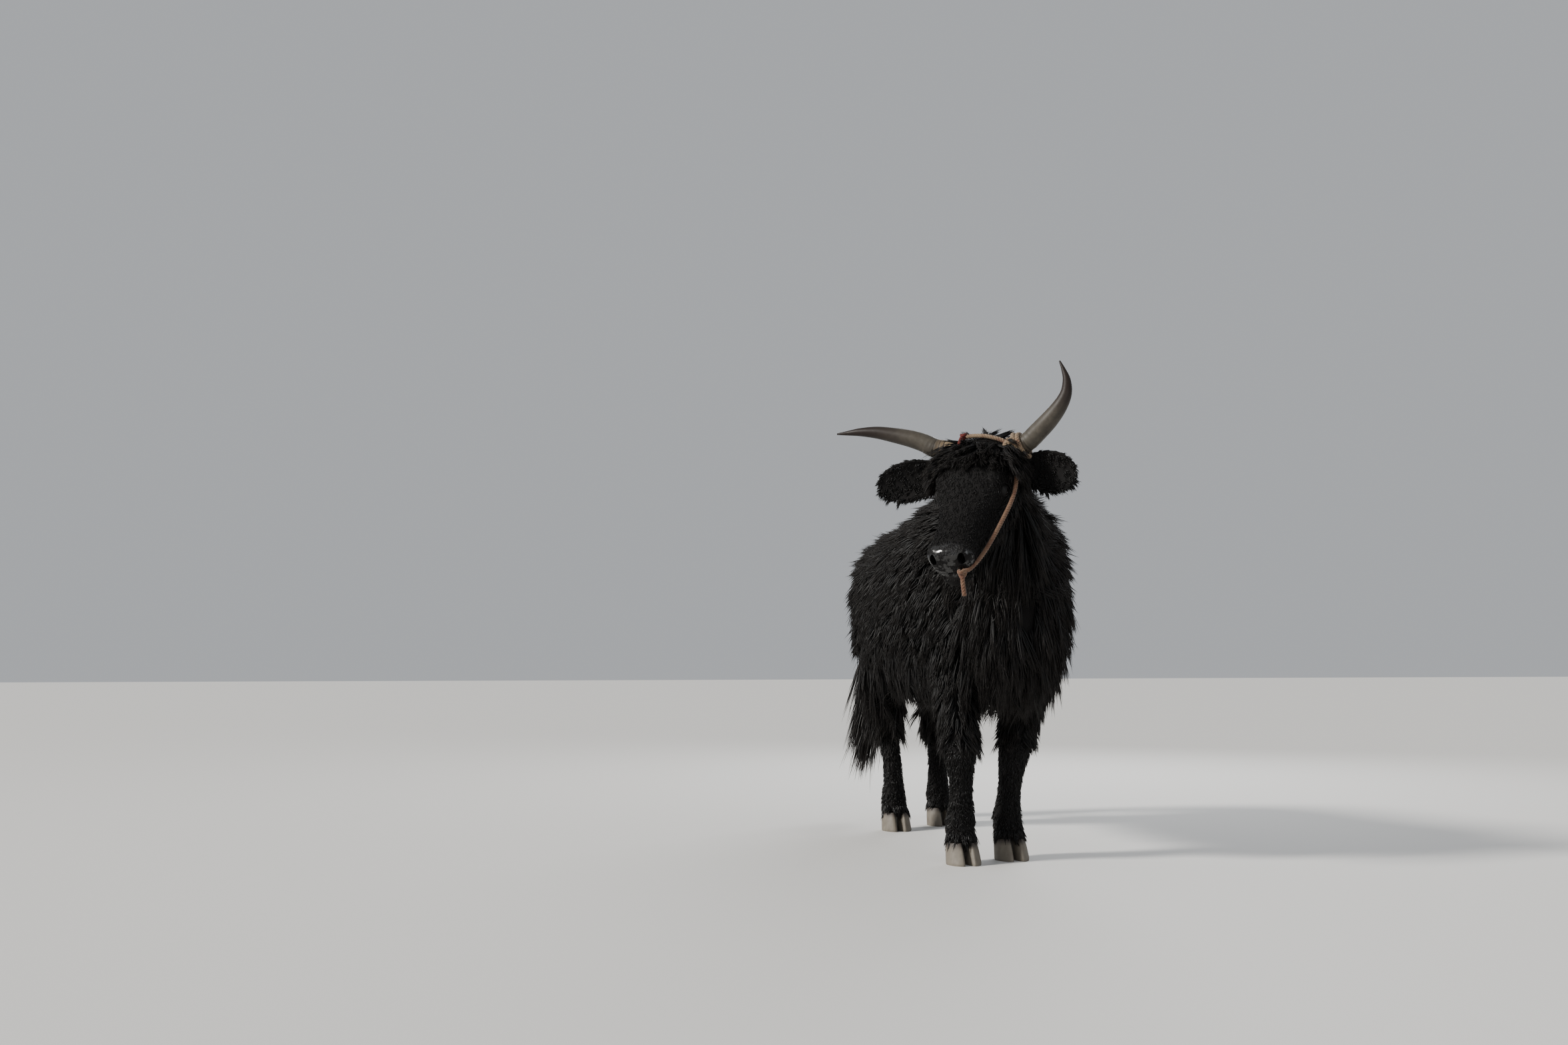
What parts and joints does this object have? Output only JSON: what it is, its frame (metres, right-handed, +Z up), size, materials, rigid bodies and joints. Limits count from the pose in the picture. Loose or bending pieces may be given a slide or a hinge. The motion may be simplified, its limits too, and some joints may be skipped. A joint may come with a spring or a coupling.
{
  "type": "standing yak",
  "caption": "Life-size standing yak ox with a long hanging coat, its head turned to its right, wearing a horn rope and a nose cord.",
  "frame": {"origin": "centre of the bounding box's footprint, on the floor under the hooves", "axes": "+X towards the chest and head, +Y to the animal's left, +Z up"},
  "size_m": [1.9873, 0.9671, 1.7431],
  "materials": {
    "coat": "long black hair with a soft sheen, browner at the tips",
    "horn": "grey-cream horn, ringed at the base and dark at the tip",
    "hoof": "pale worn horn",
    "eye": "dark and glossy",
    "rope": "twisted tan cord",
    "ribbon": "faded red cloth"
  },
  "bodies": {
    "root": {"ear_left": "coat", "ear_right": "coat", "eye_left": "eye", "eye_right": "eye", "head": "coat", "hoof_front_left_left_claw": "hoof", "hoof_front_left_right_claw": "hoof", "hoof_front_right_left_claw": "hoof", "hoof_front_right_right_claw": "hoof", "hoof_hind_left_left_claw": "hoof", "hoof_hind_left_right_claw": "hoof", "hoof_hind_right_left_claw": "hoof", "hoof_hind_right_right_claw": "hoof", "horn_left": "horn", "horn_right": "horn", "horn_rope": "rope", "leg_front_left": "coat", "leg_front_right": "coat", "leg_hind_left": "coat", "leg_hind_right": "coat", "neck": "coat", "nose_cord": "rope", "ribbon": "ribbon", "tail": "coat", "torso_barrel": "coat", "torso_rump": "coat", "torso_shoulders": "coat"}
  },
  "joints": []
}
